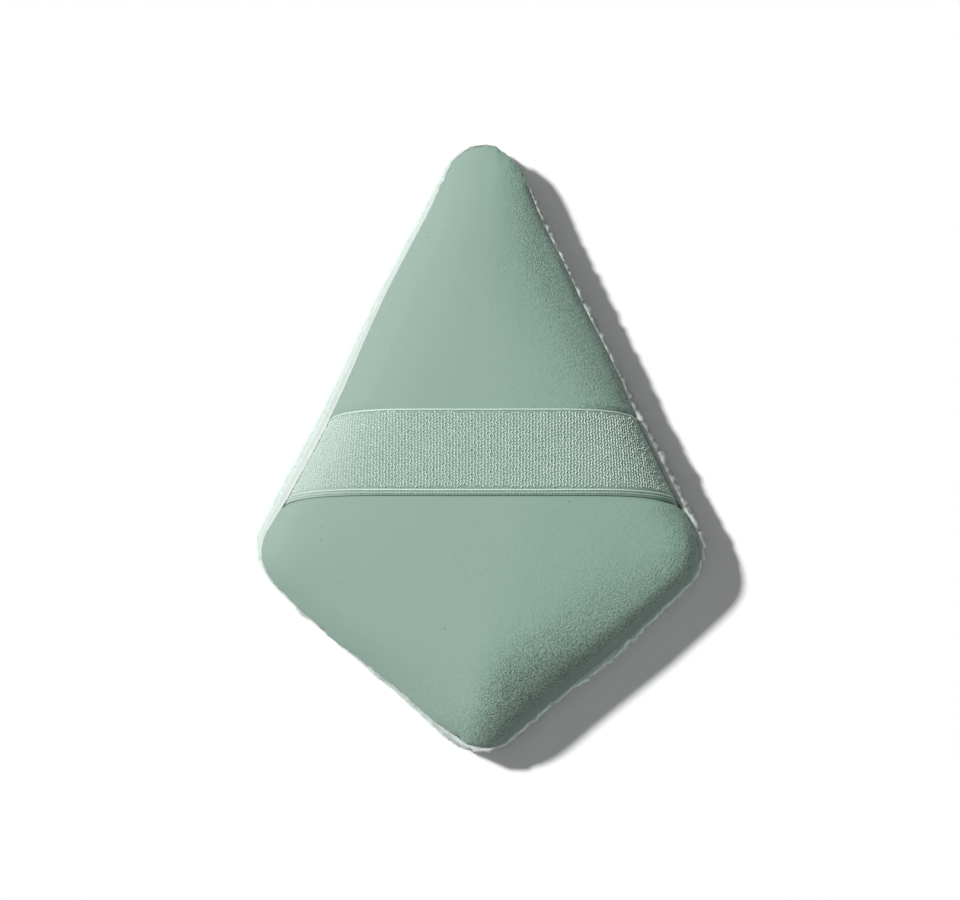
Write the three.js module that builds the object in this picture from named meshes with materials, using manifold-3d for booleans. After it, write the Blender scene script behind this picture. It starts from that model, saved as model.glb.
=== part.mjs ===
// Kite-shaped powder puff: a smooth crowned face cover and a plush back cover, seamed together
// round a foam core, with a woven elastic finger band caught in the seam on both sides.
// Millimetres, +Z up, +Y towards the apex. The puff lies on its plush side, with the origin at the
// middle of its plan, on the surface that it rests on.
import * as THREE from "three";
import { mergeVertices } from "three/addons/utils/BufferGeometryUtils.js";
import Module from "manifold-3d";

const wasm = await Module();
wasm.setup();

// Plan outline, measured over the pile
const PAD_LENGTH = 90;
const PAD_WIDTH = 66.6;
const APEX_RADIUS = 6.4;
const SIDE_RADIUS = 7.6;
const TAIL_RADIUS = 7.7;
const WIDEST_FROM_TAIL = 29.8;
const ARC_STEPS = 6;
const ROUNDING_SHARE = 0.55;

// Face cover
const SEAM_HEIGHT = 7;
const FACE_RISE = 9;
const FACE_THICKNESS = 0.8;
const CROWN_POWER = 3.2;
const CROWN_ANGLES = [4, 11, 20, 31, 43, 56, 69, 81];
const LINING_ANGLES = [7, 20, 38, 58, 76];
const THIN_FROM_APEX = 32;
const THINNEST_FROM_APEX = 3;
const APEX_THINNING_SHARE = 0.4;

// Seam allowances, turned in and lying on each other
const ALLOWANCE = 4.4;
const SEAM_GAP = 0.3;

// Plush back cover: ground fabric and pile as one body
const PILE_OVERHANG = 1.25;
const PILE_WIDEST_HEIGHT = 4.3;
const PILE_FOOT_INSET = 3;
const PILE_LIP = 0.3;
const BACK_DEPTH = 3.9;
const GROUND_THICKNESS = 1;
const GROUND_THROAT_RADIUS = 1.8;
const ROUND_ANGLES = [0, 22.5, 45, 67.5, 90];
const THROAT_ANGLES = [0, 45, 90];

// Foam core
const FOAM_CLEARANCE = 0.55;

// Elastic finger band
const BAND_WIDTH = 12.7;
const BAND_THICKNESS = 0.8;
const BAND_FROM_TAIL = 44.4;
const BAND_CLEARANCE = 0.3;
const BAND_TAIL = 3.9;
const BAND_CUT_MARGIN = 0.3;
const SEAM_PRESS_SHARE = 0.5;
const SELVEDGE_CORD = 0.34;
const SELVEDGE_HEIGHT = 0.2;
const UPPER_CORD_INSET = 0.2;
const INNER_CORD_INSET = 0.78;
const LOWER_CORD_INSET = 0.3;

// Sewing thread and its needle holes
const THREAD_THICKNESS = 0.2;
const THREAD_CLEARANCE = 0.08;
const STITCH_PITCH = 3.2;
const STITCH_INSET = 1.9;
const TURNING_GAP = 28;
const TACK_SPACING = 1.2;
const TACK_STITCHES = 5;
const TACK_MARGIN = 1.9;
const THREAD_TAIL = 1.2;

// How far a cutter runs past what it cuts
const OVERRUN = 1;

const radians = THREE.MathUtils.degToRad;

// The four corner circles of the kite, of which the outline is the tight belt
const apex = new THREE.Vector2(0, PAD_LENGTH / 2 - APEX_RADIUS);
const side = new THREE.Vector2(PAD_WIDTH / 2 - SIDE_RADIUS, WIDEST_FROM_TAIL - PAD_LENGTH / 2);
const tail = new THREE.Vector2(0, TAIL_RADIUS - PAD_LENGTH / 2);

// The outward normal of the belt's straight run from one circle to the next, going clockwise
function runNormal(from, fromRadius, to, toRadius) {
  const along = to.clone().sub(from);
  const lean = (fromRadius - toRadius) / along.length();
  along.normalize();
  const across = new THREE.Vector2(-along.y, along.x);
  return along.multiplyScalar(lean).addScaledVector(across, Math.sqrt(1 - lean * lean));
}

const upperNormal = runNormal(apex, APEX_RADIUS, side, SIDE_RADIUS);
const lowerNormal = runNormal(side, SIDE_RADIUS, tail, TAIL_RADIUS);

// The point that is equally far from all four straight runs, and that distance
const upperReach = upperNormal.dot(side) + SIDE_RADIUS;
const lowerReach = lowerNormal.dot(side) + SIDE_RADIUS;
const centreY = (upperReach - lowerReach) / (upperNormal.y - lowerNormal.y);
const centre = new THREE.Vector2(0, centreY);
const padReach = upperReach - upperNormal.y * centreY;
const faceReach = padReach - PILE_OVERHANG;

// The corners going anticlockwise from the right one, each with the angles that its arc spans
const upperAngle = upperNormal.angle();
const lowerAngle = lowerNormal.angle() - 2 * Math.PI;
const leftSide = new THREE.Vector2(-side.x, side.y);
const corners = [
  { middle: side, radius: SIDE_RADIUS, start: lowerAngle, end: upperAngle },
  { middle: apex, radius: APEX_RADIUS, start: upperAngle, end: Math.PI - upperAngle },
  { middle: leftSide, radius: SIDE_RADIUS, start: Math.PI - upperAngle, end: Math.PI - lowerAngle },
  { middle: tail, radius: TAIL_RADIUS, start: Math.PI - lowerAngle, end: 2 * Math.PI + lowerAngle },
];

// The corner circle of the ring whose straight runs lie `reach` from the centre. At the edge it is
// the outline's own circle, and further in it grows rounder until the ring is a circle.
function cornerAt({ middle, radius }, reach) {
  const inset = padReach - reach;
  const round = Math.hypot(Math.max(radius - inset, 0), ROUNDING_SHARE * inset);
  const ringRadius = Math.min(round, reach);
  const share = (reach - ringRadius) / (padReach - radius);
  return { middle: centre.clone().lerp(middle, share), radius: ringRadius };
}

// The ring of that reach as a path
function kitePath(reach) {
  const path = new THREE.Path();
  for (const corner of corners) {
    const { middle, radius } = cornerAt(corner, reach);
    path.absarc(middle.x, middle.y, radius, corner.start, corner.end, false);
  }
  path.closePath();
  return path;
}

// The ring of that reach as points
function kiteRing(reach) {
  return corners.flatMap((corner) => {
    const { middle, radius } = cornerAt(corner, reach);
    return Array.from({ length: ARC_STEPS + 1 }, (_, i) => {
      const angle = corner.start + ((corner.end - corner.start) * i) / ARC_STEPS;
      const outward = new THREE.Vector2(Math.cos(angle), Math.sin(angle));
      return middle.clone().addScaledVector(outward, radius);
    });
  });
}

// A height in the crown at a place along the puff, which grows thinner towards its apex
function thinned(y, height) {
  if (height <= thinningBase) return height;
  const thinStart = PAD_LENGTH / 2 - THIN_FROM_APEX;
  const near = THREE.MathUtils.smoothstep(y, thinStart, PAD_LENGTH / 2 - THINNEST_FROM_APEX);
  return thinningBase + (height - thinningBase) * (1 - APEX_THINNING_SHARE * near);
}

// A closed body made as a lathe makes one, but round the kite instead of a circle. The profile is
// a list of [reach, height] from the body's top pole, over its outside, to its bottom pole.
function kiteBody(profile) {
  const rings = profile.slice(1, -1);
  const positions = [centre.x, centre.y, profile[0][1]];
  for (const [reach, height] of rings) {
    for (const spot of kiteRing(reach)) positions.push(spot.x, spot.y, thinned(spot.y, height));
  }
  positions.push(centre.x, centre.y, profile.at(-1)[1]);
  const count = kiteRing(padReach).length;
  const last = positions.length / 3 - 1;
  const index = [];
  for (let i = 0; i < count; i++) {
    const next = (i + 1) % count;
    index.push(0, 1 + i, 1 + next);
    for (let ring = 0; ring < rings.length - 1; ring++) {
      const a = 1 + ring * count;
      const b = a + count;
      index.push(a + i, b + i, b + next, a + i, b + next, a + next);
    }
    const rim = 1 + (rings.length - 1) * count;
    index.push(last, rim + next, rim + i);
  }
  return bodyFrom(positions, index);
}

function bodyFrom(positions, index) {
  const geometry = new THREE.BufferGeometry();
  geometry.setAttribute("position", new THREE.Float32BufferAttribute(positions, 3));
  geometry.setIndex(index);
  return geometry;
}

function solidFrom(geometry) {
  const bare = geometry.clone();
  bare.deleteAttribute("normal");
  bare.deleteAttribute("uv");
  const merged = mergeVertices(bare);
  return new wasm.Manifold(
    new wasm.Mesh({
      numProp: 3,
      vertProperties: new Float32Array(merged.attributes.position.array),
      triVerts: new Uint32Array(merged.index.array),
    }),
  );
}

function geometryFrom(solid) {
  const mesh = solid.getMesh();
  return bodyFrom(Array.from(mesh.vertProperties), Array.from(mesh.triVerts));
}

// Heights of the two allowances
const faceAllowanceBottom = SEAM_HEIGHT + SEAM_GAP / 2;
const faceAllowanceTop = faceAllowanceBottom + FACE_THICKNESS;
const backAllowanceTop = SEAM_HEIGHT - SEAM_GAP / 2;
const backAllowanceBottom = backAllowanceTop - FACE_THICKNESS;
const allowanceReach = faceReach - ALLOWANCE;

// The seam with its threads keeps its height all round. Only what lies above them grows thinner.
const threadRoom = THREAD_THICKNESS + 2 * THREAD_CLEARANCE;
const thinningBase = faceAllowanceTop + threadRoom + THREAD_CLEARANCE;

// A crown that is nearly flat over the middle and turns straight down at its edge
function crown(reach, base, rise, angles) {
  return angles.map((degrees) => {
    const angle = radians(degrees);
    return [reach * Math.sin(angle) ** (2 / CROWN_POWER), base + rise * Math.cos(angle)];
  });
}

// A quarter of an ellipse in the profile, from its side at 0 degrees to its top or bottom at 90
function quarter(reach, height, wide, high, angles = ROUND_ANGLES) {
  return angles.map((degrees) => {
    const angle = radians(degrees);
    return [reach + wide * Math.cos(angle), height + high * Math.sin(angle)];
  });
}

const faceOutside = [
  [0, faceAllowanceBottom + FACE_RISE],
  ...crown(faceReach, faceAllowanceBottom, FACE_RISE, CROWN_ANGLES),
  [faceReach, faceAllowanceBottom],
];

function faceCover() {
  const liningRise = FACE_RISE - 2 * FACE_THICKNESS;
  const liningReach = faceReach - FACE_THICKNESS;
  return kiteBody([
    ...faceOutside,
    [allowanceReach, faceAllowanceBottom],
    [allowanceReach, faceAllowanceTop],
    [liningReach, faceAllowanceTop],
    ...crown(liningReach, faceAllowanceTop, liningRise, LINING_ANGLES).reverse(),
    [0, faceAllowanceTop + liningRise],
  ]);
}

function backCover() {
  const wallReach = faceReach - GROUND_THICKNESS;
  const lipReach = faceReach + PILE_LIP;
  const throat = quarter(
    wallReach - GROUND_THROAT_RADIUS,
    backAllowanceBottom,
    GROUND_THROAT_RADIUS,
    BACK_DEPTH - backAllowanceBottom,
    THROAT_ANGLES,
  );
  const shoulder = quarter(
    lipReach,
    PILE_WIDEST_HEIGHT,
    padReach - lipReach,
    backAllowanceTop - PILE_WIDEST_HEIGHT,
  );
  const foot = quarter(
    padReach - PILE_FOOT_INSET,
    PILE_WIDEST_HEIGHT,
    PILE_FOOT_INSET,
    -PILE_WIDEST_HEIGHT,
  );
  return kiteBody([
    [0, BACK_DEPTH],
    ...throat.reverse(),
    [allowanceReach, backAllowanceBottom],
    [allowanceReach, backAllowanceTop],
    ...shoulder.reverse(),
    ...foot.slice(1),
    [0, 0],
  ]);
}

function foamCore() {
  const grooveTop = thinningBase;
  const grooveBottom = backAllowanceBottom - threadRoom - THREAD_CLEARANCE;
  const grooveReach = allowanceReach - FOAM_CLEARANCE;
  const topReach = faceReach - FACE_THICKNESS - FOAM_CLEARANCE;
  const topRise = faceAllowanceBottom + FACE_RISE - FACE_THICKNESS - FOAM_CLEARANCE - grooveTop;
  const bottom = BACK_DEPTH + FOAM_CLEARANCE;
  const lipReach = faceReach - GROUND_THICKNESS - FOAM_CLEARANCE;
  const lip = quarter(
    lipReach - GROUND_THROAT_RADIUS,
    grooveBottom,
    GROUND_THROAT_RADIUS,
    bottom - grooveBottom,
    THROAT_ANGLES,
  );
  return kiteBody([
    [0, grooveTop + topRise],
    ...crown(topReach, grooveTop, topRise, LINING_ANGLES),
    [topReach, grooveTop],
    [grooveReach, grooveTop],
    [grooveReach, grooveBottom],
    ...lip,
    [0, bottom],
  ]);
}

// The band follows the face cover's outside. On a straight run of the kite that outside is a
// cylinder, so laid flat the band's threads are straight lines, which fall away towards the tail
// as the surface turns down: `fall` is their travel along the run for each millimetre over it.
const bandY = BAND_FROM_TAIL - PAD_LENGTH / 2;
const fall = upperNormal.y / upperNormal.x;
const crownTop = faceAllowanceBottom + FACE_RISE;

// Cumulative length along a [reach, height] polyline
function lengthsOf(line) {
  const lengths = [0];
  for (let i = 1; i < line.length; i++) {
    const step = Math.hypot(line[i][0] - line[i - 1][0], line[i][1] - line[i - 1][1]);
    lengths.push(lengths[i - 1] + step);
  }
  return lengths;
}

// Where the band runs: over the face, round the seam edge, and in under the face's allowance
function bandLine(tailLength) {
  return [...faceOutside, [faceReach - tailLength, faceAllowanceBottom]];
}

// The outward direction at a point of the line, long enough to keep an offset's full thickness
function mitre(line, i) {
  const normal = (a, b) => {
    const across = new THREE.Vector2(a[1] - b[1], b[0] - a[0]);
    return across.normalize();
  };
  const before = normal(line[i - 1], line[i]);
  if (i === line.length - 1) return before;
  const after = normal(line[i], line[i + 1]);
  const middle = before.clone().add(after).normalize();
  return middle.multiplyScalar(1 / middle.dot(before));
}

// A point on the right half of the band: `across` from its middle thread towards the apex, `up`
// from the cover, at the station of the line with that number. Station 0 is the middle of the puff.
function bandPoint(line, lengths, station, across, up) {
  const y = bandY + across - centreY;
  const startReach = upperNormal.y * y;
  if (station === 0) return [0, bandY + across, heightAt(line, startReach) + up];
  const [reach, height] = line[station];
  const depth = (crownTop - height) / FACE_RISE;
  const pressed = up * (1 - (1 - SEAM_PRESS_SHARE) * depth);
  const out = mitre(line, station).multiplyScalar(pressed);
  const along = fall * (lengths[station] - startReach) - upperNormal.x * y;
  const over = reach + out.x;
  return [
    along * upperNormal.y + over * upperNormal.x,
    centreY - along * upperNormal.x + over * upperNormal.y,
    height + out.y,
  ];
}

function heightAt(line, reach) {
  const i = line.findIndex((point) => point[0] > reach);
  const share = (reach - line[i - 1][0]) / (line[i][0] - line[i - 1][0]);
  return line[i - 1][1] + share * (line[i][1] - line[i - 1][1]);
}

// The band's section as [across, up]: flat below, with an edge cord on its upper side and two
// cords beside each other on its lower side
function bandSection() {
  const cord = (middle) => [
    [middle + SELVEDGE_CORD / 2, BAND_CLEARANCE + BAND_THICKNESS],
    [middle, BAND_CLEARANCE + BAND_THICKNESS + SELVEDGE_HEIGHT],
    [middle - SELVEDGE_CORD / 2, BAND_CLEARANCE + BAND_THICKNESS],
  ];
  const edge = BAND_WIDTH / 2;
  return [
    [-edge, BAND_CLEARANCE],
    [edge, BAND_CLEARANCE],
    ...cord(edge - UPPER_CORD_INSET),
    ...cord(INNER_CORD_INSET - edge),
    ...cord(LOWER_CORD_INSET - edge),
  ];
}

// A plain section that clears the band all round, for cutting its pocket
function pocketSection() {
  const edge = BAND_WIDTH / 2 + BAND_CUT_MARGIN;
  const top = BAND_CLEARANCE + BAND_THICKNESS + SELVEDGE_HEIGHT + BAND_CUT_MARGIN;
  return [
    [-edge, 0],
    [edge, 0],
    [edge, top],
    [-edge, top],
  ];
}

function bandBody(section, tailLength) {
  const line = bandLine(tailLength);
  const lengths = lengthsOf(line);
  const highest = upperNormal.y * (bandY + BAND_WIDTH / 2 + BAND_CUT_MARGIN - centreY);
  const first = line.findIndex((point) => point[0] > highest);
  const right = [0];
  for (let station = first; station < line.length; station++) right.push(station);
  const place = (station, mirror) =>
    section.flatMap(([across, up]) => {
      const [x, y, z] = bandPoint(line, lengths, station, across, up);
      return [x * mirror, y, z];
    });
  const rings = [
    ...right.slice(1).reverse().map((station) => place(station, -1)),
    ...right.map((station) => place(station, 1)),
  ];
  return loft(rings, section.map(([across, up]) => new THREE.Vector2(across, up)));
}

// A closed body through rings of points, with flat ends. Seen from the first ring's side, the
// points go round anticlockwise.
function loft(rings, endShape) {
  const count = endShape.length;
  const index = [];
  for (let ring = 0; ring < rings.length - 1; ring++) {
    for (let i = 0; i < count; i++) {
      const next = (i + 1) % count;
      const a = ring * count;
      const b = a + count;
      index.push(a + i, b + next, b + i, a + i, a + next, b + next);
    }
  }
  const lastRing = (rings.length - 1) * count;
  for (const [a, b, c] of THREE.ShapeUtils.triangulateShape(endShape, [])) {
    index.push(a, c, b);
    index.push(lastRing + a, lastRing + b, lastRing + c);
  }
  return bodyFrom(rings.flat(), index);
}

// A square thread along a line of points, mitred at each bend
function thread(points) {
  const half = THREAD_THICKNESS / 2;
  const first = points[1].clone().sub(points[0]).normalize();
  const level = new THREE.Vector3(-first.y, first.x, 0).normalize();
  const steep = first.clone().cross(level);
  const section = [
    [1, 1],
    [-1, 1],
    [-1, -1],
    [1, -1],
  ];
  let ring = section.map(([a, b]) =>
    points[0].clone().addScaledVector(level, a * half).addScaledVector(steep, b * half),
  );
  const rings = [ring];
  for (let i = 1; i < points.length; i++) {
    const arriving = points[i].clone().sub(points[i - 1]).normalize();
    const leaving = (points[i + 1] ?? points[i].clone().add(arriving)).clone().sub(points[i]).normalize();
    const plane = arriving.clone().add(leaving).normalize();
    ring = ring.map((corner) => {
      const gap = points[i].clone().sub(corner).dot(plane);
      return corner.clone().addScaledVector(arriving, gap / arriving.dot(plane));
    });
    rings.push(ring);
  }
  const flat = rings.map((corner) => corner.flatMap((point) => point.toArray()));
  const shape = section.map(([a, b]) => new THREE.Vector2(a, b));
  return loft(flat, shape);
}

// Heights of the thread's runs above and below the allowances, and of the lock between them
const overRun = faceAllowanceTop + THREAD_CLEARANCE + THREAD_THICKNESS / 2;
const underRun = backAllowanceBottom - THREAD_CLEARANCE - THREAD_THICKNESS / 2;
const lockStep = THREAD_THICKNESS + THREAD_CLEARANCE;
const needleHole = 2 * (lockStep + THREAD_THICKNESS / 2 + THREAD_CLEARANCE);

// The needle holes: a spot on the seam line with the direction of the seam there
const seamPath = kitePath(faceReach - STITCH_INSET);
const seamLength = seamPath.getLength();
const holeCount = Math.round(seamLength / STITCH_PITCH);
const seamHoles = Array.from({ length: holeCount }, (_, i) => {
  const share = i / holeCount;
  return { share, spot: seamPath.getPointAt(share), along: seamPath.getTangentAt(share) };
});

// The turning gap lies in the middle of the lower right run, which closes the path
const gapShare = 1 - side.distanceTo(tail) / 2 / seamLength;
const inGap = ({ share }) => Math.abs(share - gapShare) * seamLength < TURNING_GAP / 2;
const gapStart = seamHoles.findIndex(inGap);
const gapHoles = seamHoles.filter(inGap);
const machineHoles = seamHoles.map(
  (_, i) => seamHoles[(gapStart + gapHoles.length + i) % holeCount],
).slice(0, holeCount - gapHoles.length);

// A point near a hole: `ahead` along the seam, `aside` to its left
function nearHole({ spot, along }, ahead, aside, height) {
  return new THREE.Vector3(
    spot.x + along.x * ahead - along.y * aside,
    spot.y + along.y * ahead + along.x * aside,
    height,
  );
}

// One thread of a lockstitch. It dips into each hole past the middle, hooks the other thread
// there, and comes back out. `way` is 1 for the needle thread above and -1 for the bobbin's below.
function lockstitch(holes, way) {
  const run = way > 0 ? overRun : underRun;
  const lock = SEAM_HEIGHT - way * lockStep;
  const points = [nearHole(holes[0], -THREAD_TAIL, way * lockStep, run)];
  for (const hole of holes) {
    points.push(nearHole(hole, -lockStep, way * lockStep, run));
    points.push(nearHole(hole, -lockStep, way * lockStep, lock));
    points.push(nearHole(hole, lockStep, -way * lockStep, lock));
    points.push(nearHole(hole, lockStep, -way * lockStep, run));
  }
  points.push(nearHole(holes.at(-1), THREAD_TAIL, -way * lockStep, run));
  return thread(points);
}

// A hand-sewn running stitch, in and out through the holes by turns
function runningStitch(holes) {
  const points = [nearHole(holes[0], -THREAD_TAIL, 0, overRun)];
  holes.forEach((hole, i) => {
    const [entry, exit] = i % 2 ? [underRun, overRun] : [overRun, underRun];
    points.push(nearHole(hole, 0, 0, entry));
    points.push(nearHole(hole, 0, 0, exit));
  });
  const end = holes.length % 2 ? underRun : overRun;
  points.push(nearHole(holes.at(-1), THREAD_TAIL, 0, end));
  return thread(points);
}

// The tack's holes across one tail of the band, in a row beside the seam's
function tackHoles(mirror) {
  const inward = STITCH_INSET + TACK_SPACING;
  const line = bandLine(inward);
  const lengths = lengthsOf(line);
  const end = (across) => {
    const [x, y] = bandPoint(line, lengths, line.length - 1, across, 0);
    return new THREE.Vector2(x * mirror, y);
  };
  const edge = BAND_WIDTH / 2 - TACK_MARGIN;
  const top = end(edge);
  const bottom = end(-edge);
  const along = bottom.clone().sub(top).normalize();
  return Array.from({ length: TACK_STITCHES }, (_, i) => ({
    spot: top.clone().lerp(bottom, i / (TACK_STITCHES - 1)),
    along,
  }));
}

const tacks = { left: tackHoles(-1), right: tackHoles(1) };

// A square hole for each needle hole, through everything sewn
function needleCutters() {
  const low = backAllowanceBottom - OVERRUN;
  const high = faceAllowanceTop + OVERRUN;
  return [...seamHoles, ...tacks.left, ...tacks.right].map(({ spot, along }) => {
    const box = new THREE.BoxGeometry(needleHole, needleHole, high - low);
    box.rotateZ(along.angle());
    box.translate(spot.x, spot.y, (low + high) / 2);
    return solidFrom(box);
  });
}

const needles = wasm.Manifold.union(needleCutters());
const pocket = solidFrom(bandBody(pocketSection(), BAND_TAIL + BAND_CUT_MARGIN));
const pierced = (geometry) => geometryFrom(solidFrom(geometry).subtract(needles));

function pocketedBackCover() {
  return geometryFrom(solidFrom(backCover()).subtract(pocket).subtract(needles));
}

const materials = {
  suedeFace: new THREE.MeshStandardMaterial({ color: 0x96b2a3, roughness: 0.95, metalness: 0 }),
  plush: new THREE.MeshStandardMaterial({ color: 0xd9e8e2, roughness: 1, metalness: 0 }),
  foam: new THREE.MeshStandardMaterial({ color: 0xf1efe6, roughness: 0.95, metalness: 0 }),
  elastic: new THREE.MeshStandardMaterial({ color: 0xa6c2b3, roughness: 0.8, metalness: 0 }),
  thread: new THREE.MeshStandardMaterial({ color: 0xa9c4b7, roughness: 0.7, metalness: 0 }),
};

const puff = new THREE.Group();

function addPiece(name, geometry, material) {
  const mesh = new THREE.Mesh(geometry, material);
  mesh.name = name;
  puff.add(mesh);
}

addPiece("face_cover", pierced(faceCover()), materials.suedeFace);
addPiece("back_cover", pocketedBackCover(), materials.plush);
addPiece("foam_core", foamCore(), materials.foam);
addPiece("finger_band", pierced(bandBody(bandSection(), BAND_TAIL)), materials.elastic);
addPiece("seam_needle_thread", lockstitch(machineHoles, 1), materials.thread);
addPiece("seam_bobbin_thread", lockstitch(machineHoles, -1), materials.thread);
addPiece("closing_thread", runningStitch(gapHoles), materials.thread);
addPiece("band_tack_left", runningStitch(tacks.left), materials.thread);
addPiece("band_tack_right", runningStitch(tacks.right), materials.thread);

export default puff;
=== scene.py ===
import math
from collections import namedtuple

import bpy
import numpy as np
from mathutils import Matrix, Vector, kdtree, noise


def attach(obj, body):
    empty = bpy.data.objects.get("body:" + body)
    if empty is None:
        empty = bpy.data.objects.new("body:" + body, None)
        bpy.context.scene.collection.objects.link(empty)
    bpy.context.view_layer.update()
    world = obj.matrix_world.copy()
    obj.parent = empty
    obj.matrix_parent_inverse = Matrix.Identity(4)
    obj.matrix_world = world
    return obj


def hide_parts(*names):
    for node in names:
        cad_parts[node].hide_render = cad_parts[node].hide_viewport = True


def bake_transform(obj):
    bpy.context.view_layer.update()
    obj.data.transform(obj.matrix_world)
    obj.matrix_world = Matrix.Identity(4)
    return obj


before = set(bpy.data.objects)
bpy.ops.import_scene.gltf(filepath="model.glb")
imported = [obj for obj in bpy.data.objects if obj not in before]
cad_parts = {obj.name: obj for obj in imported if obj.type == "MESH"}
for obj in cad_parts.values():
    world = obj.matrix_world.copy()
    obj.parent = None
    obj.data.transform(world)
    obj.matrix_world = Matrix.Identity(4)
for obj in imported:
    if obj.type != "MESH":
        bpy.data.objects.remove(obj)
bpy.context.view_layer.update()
scene = bpy.context.scene

# Sizes and places are in millimetres, which Blender takes in metres
MM = 0.001

# The kite outline over the pile, as in the CAD
LENGTH, WIDTH = 90.0, 66.6
APEX_R, SIDE_R, TAIL_R = 6.4, 7.6, 7.7
WIDEST_FROM_TAIL = 29.8
# The pile's width past the face
OVERHANG = 1.25
# The seam's height, and the face's rise over it
SEAM_Z, RISE = 7.15, 9.0
# The cloth's thickness, and how much of it is turned in
CLOTH, ALLOWANCE = 0.8, 4.4
# How far under the crown the cover's inside and the foam lie
UNDER_FACE, UNDER_FOAM = 1.15, 1.5

# The band's width, distance from the tail, gap over the face, thickness and length in the seam
BAND_W, BAND_FROM_TAIL = 12.7, 44.4
BAND_GAP, TAPE_T, BAND_TAIL = 0.06, 0.5, 3.9
BAND_Y = BAND_FROM_TAIL - LENGTH / 2

apex = np.array([0.0, LENGTH / 2 - APEX_R])
side = np.array([WIDTH / 2 - SIDE_R, WIDEST_FROM_TAIL - LENGTH / 2])
tail = np.array([0.0, TAIL_R - LENGTH / 2])


def run_normal(a, ra, b, rb):
    along = b - a
    lean = (ra - rb) / np.linalg.norm(along)
    along = along / np.linalg.norm(along)
    across = np.array([-along[1], along[0]])
    return along * lean + across * math.sqrt(1 - lean * lean)


UP = run_normal(apex, APEX_R, side, SIDE_R)
LOW = run_normal(side, SIDE_R, tail, TAIL_R)
_up, _low = UP @ side + SIDE_R, LOW @ side + SIDE_R
CY = (_up - _low) / (UP[1] - LOW[1])
CENTRE = np.array([0.0, CY])
PAD = _up - UP[1] * CY
FACE = PAD - OVERHANG

ua = math.atan2(UP[1], UP[0])
la = math.atan2(LOW[1], LOW[0])
left = np.array([-side[0], side[1]])
CORNERS = [
    (side, SIDE_R, la, ua),
    (apex, APEX_R, ua, math.pi - ua),
    (left, SIDE_R, math.pi - ua, math.pi - la),
    (tail, TAIL_R, math.pi - la, 2 * math.pi + la),
]


# Places round the outline: their corner and the next one, the next one's share, the outward
# direction, and the share of the way round, which starts below the right corner
Samples = namedtuple("Samples", "corner following blend out share")
FEWEST_STEPS = 4


def outline(step):
    """Samples round the outline, about every `step` mm."""
    rows, travelled = [], 0.0
    for i, (middle, radius, start, end) in enumerate(CORNERS):
        steps = max(FEWEST_STEPS, round(radius * (end - start) / step))
        for k in range(steps):
            angle = start + (end - start) * k / steps
            rows.append((i, i, 0.0, math.cos(angle), math.sin(angle), travelled))
            travelled += radius * (end - start) / steps
        following = (i + 1) % len(CORNERS)
        other, far = CORNERS[following][:2]
        n = (math.cos(end), math.sin(end))
        gap = np.linalg.norm(other + np.array(n) * far - middle - np.array(n) * radius)
        steps = max(FEWEST_STEPS, round(gap / step))
        for k in range(steps):
            rows.append((i, following, k / steps, *n, travelled))
            travelled += gap / steps
    a = np.array(rows)
    corner, following = a[:, :2].astype(int).T
    return Samples(corner, following, a[:, 2], a[:, 3:5], a[:, 5] / travelled)


RADII = np.array([c[1] for c in CORNERS])
VERTEX = np.array([(c[0] - CENTRE) / (PAD - c[1]) for c in CORNERS])
ROUNDING = 0.55


def ring(samples, reach):
    """The ring whose straight runs lie `reach` from the centre. Further in it is rounder."""
    i, j, blend, n, _ = samples
    inset = PAD - reach
    r = np.sqrt(np.maximum(RADII - inset, 0) ** 2 + (ROUNDING * max(inset, 0)) ** 2)
    r = np.minimum(r, reach)
    first, second = (
        CENTRE + VERTEX[c] * (reach - r[c])[:, None] + n * r[c][:, None] for c in (i, j)
    )
    return first * (1 - blend)[:, None] + second * blend[:, None]


def at_height(spot, z):
    """Points in plan, at one height or at one each."""
    return np.column_stack([spot, np.broadcast_to(z, len(spot))])


def levels(samples, rows):
    """Level rings from pairs of a reach and a height."""
    return [at_height(ring(samples, reach), z) for reach, z in rows]


def smooth(x, a, b):
    """0 up to a and 1 from b on, with a soft step between."""
    t = np.clip((np.asarray(x, float) - a) / (b - a), 0, 1)
    return t * t * (3 - 2 * t)


def hump(x, a, b, c, d):
    """1 from b to c, and 0 up to a and from d on."""
    return smooth(x, a, b) * (1 - smooth(x, c, d))


def unit(vectors):
    return vectors / np.linalg.norm(vectors, axis=1)[:, None]


def bell(reach, width):
    """The weights of a bell curve at whole steps, which add up to 1."""
    weights = np.exp(-0.5 * (np.arange(-reach, reach + 1) / width) ** 2)
    return weights / weights.sum()


# Three tables in thousandths of the way round and hundredths of a millimetre. First, how far
# the pile shows past the face's edge.
OVERHANG_KEYS = [
    (0, 65), (17, 67), (35, 100), (52, 107), (69, 113), (86, 117), (103, 97), (120, 98),
    (137, 87), (155, 63), (172, 61), (189, 70), (206, 63), (223, 50), (240, 47), (257, 58),
    (274, 57), (291, 48), (309, 20), (326, 23), (343, 36), (361, 60), (378, 85), (395, 97),
    (412, 88), (446, 80), (464, 93), (481, 105), (498, 125), (515, 140), (532, 148), (549, 142),
    (570, 132), (585, 125), (600, 108), (618, 80), (635, 60), (652, 66), (669, 40), (687, 5),
    (704, -5), (721, 4), (738, 39), (755, 63), (772, 56), (790, 64), (807, 110), (824, 90),
    (834, 78), (845, 70), (858, 59), (893, 62), (910, 94), (927, 100), (944, 80), (961, 83),
    (979, 71), (1000, 65),
]

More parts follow.
